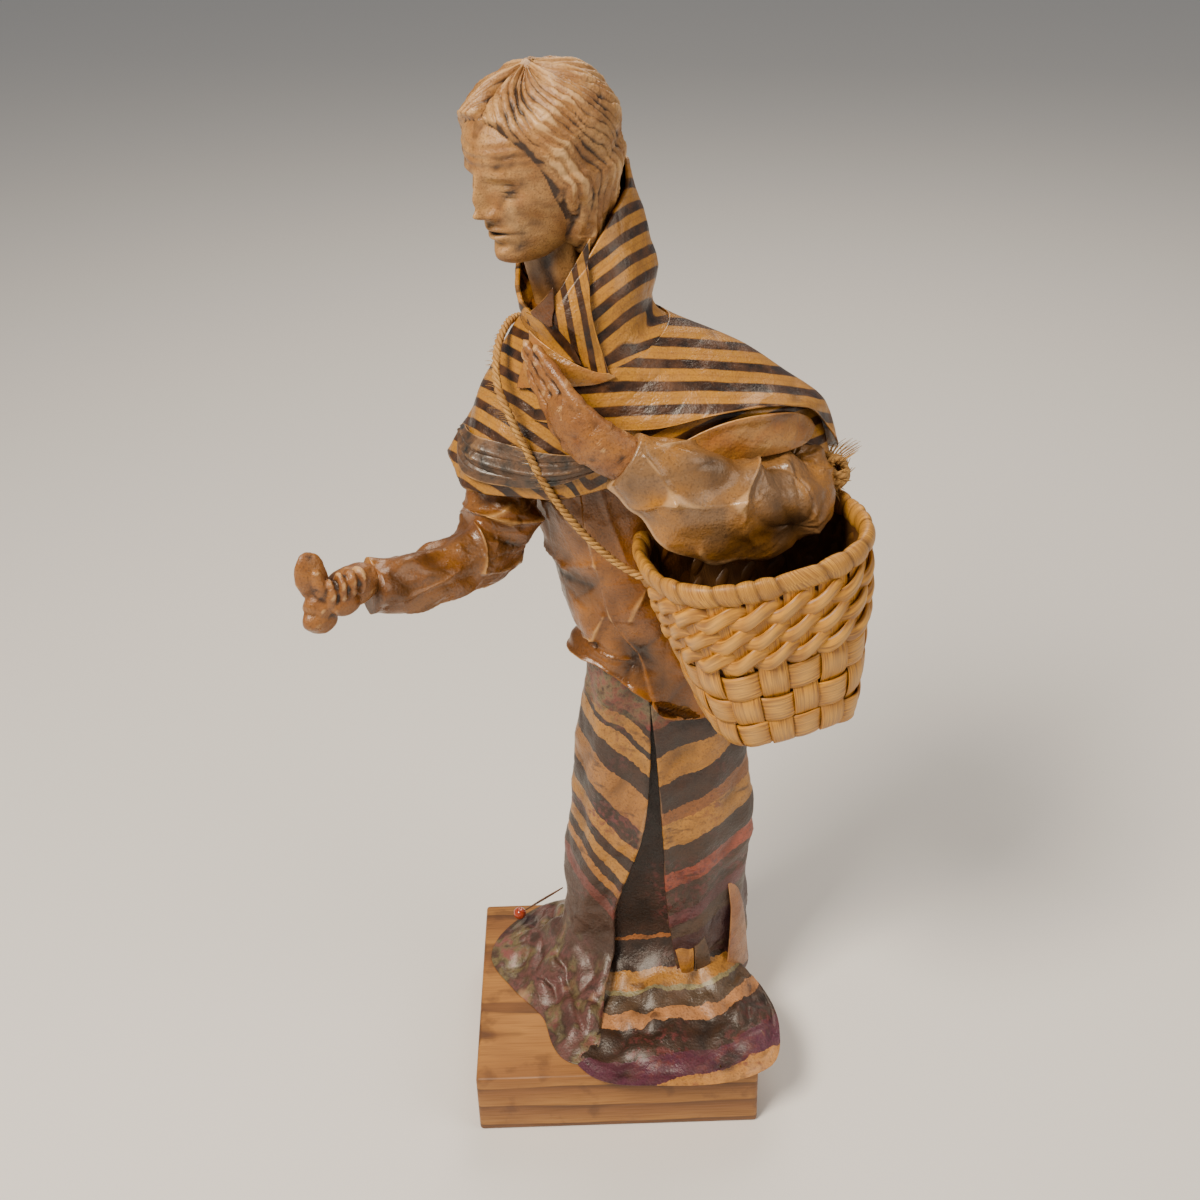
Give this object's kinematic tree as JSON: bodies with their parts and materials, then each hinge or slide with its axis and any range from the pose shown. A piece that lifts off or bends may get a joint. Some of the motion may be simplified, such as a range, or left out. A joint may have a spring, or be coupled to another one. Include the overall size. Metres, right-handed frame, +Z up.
{
  "type": "papier-mache figure",
  "caption": "Standing papier-mache figure of an old market walker in stiff varnished paper clothes and striped shawl, with a woven straw basket on a cord, on a rectangular wooden block",
  "frame": {"origin": "centre of the wooden block's underside", "axes": "+Z up the figure, +X towards the figure's left (the basket's side), -Y out of the figure's front"},
  "size_m": [0.1679, 0.102, 0.3629],
  "materials": {
    "block_wood": "oiled brown softwood, satin",
    "painted_paper": "papier-mache skirt painted in dark and orange stripes, varnished",
    "varnished_paper": "crumpled brown paper, glossy varnish",
    "striped_paper": "orange paper with even dark brown stripes, varnished",
    "paper_pulp": "moulded paper pulp, brown wash, satin",
    "straw": "plaited golden straw, matt",
    "fibre_cord": "twisted plant fibre, matt",
    "bead": "glossy red bead"
  },
  "bodies": {
    "root": {"wooden_base": "block_wood", "underskirt": "painted_paper", "skirt": "painted_paper", "blouse": "varnished_paper", "right_sleeve": "varnished_paper", "left_sleeve": "varnished_paper", "right_hand": "paper_pulp", "left_hand": "paper_pulp", "head": "paper_pulp", "rebozo": "striped_paper", "basket": "straw", "carrying_cord": "fibre_cord", "red_bead": "bead", "bead_stem": "fibre_cord"}
  },
  "joints": []
}
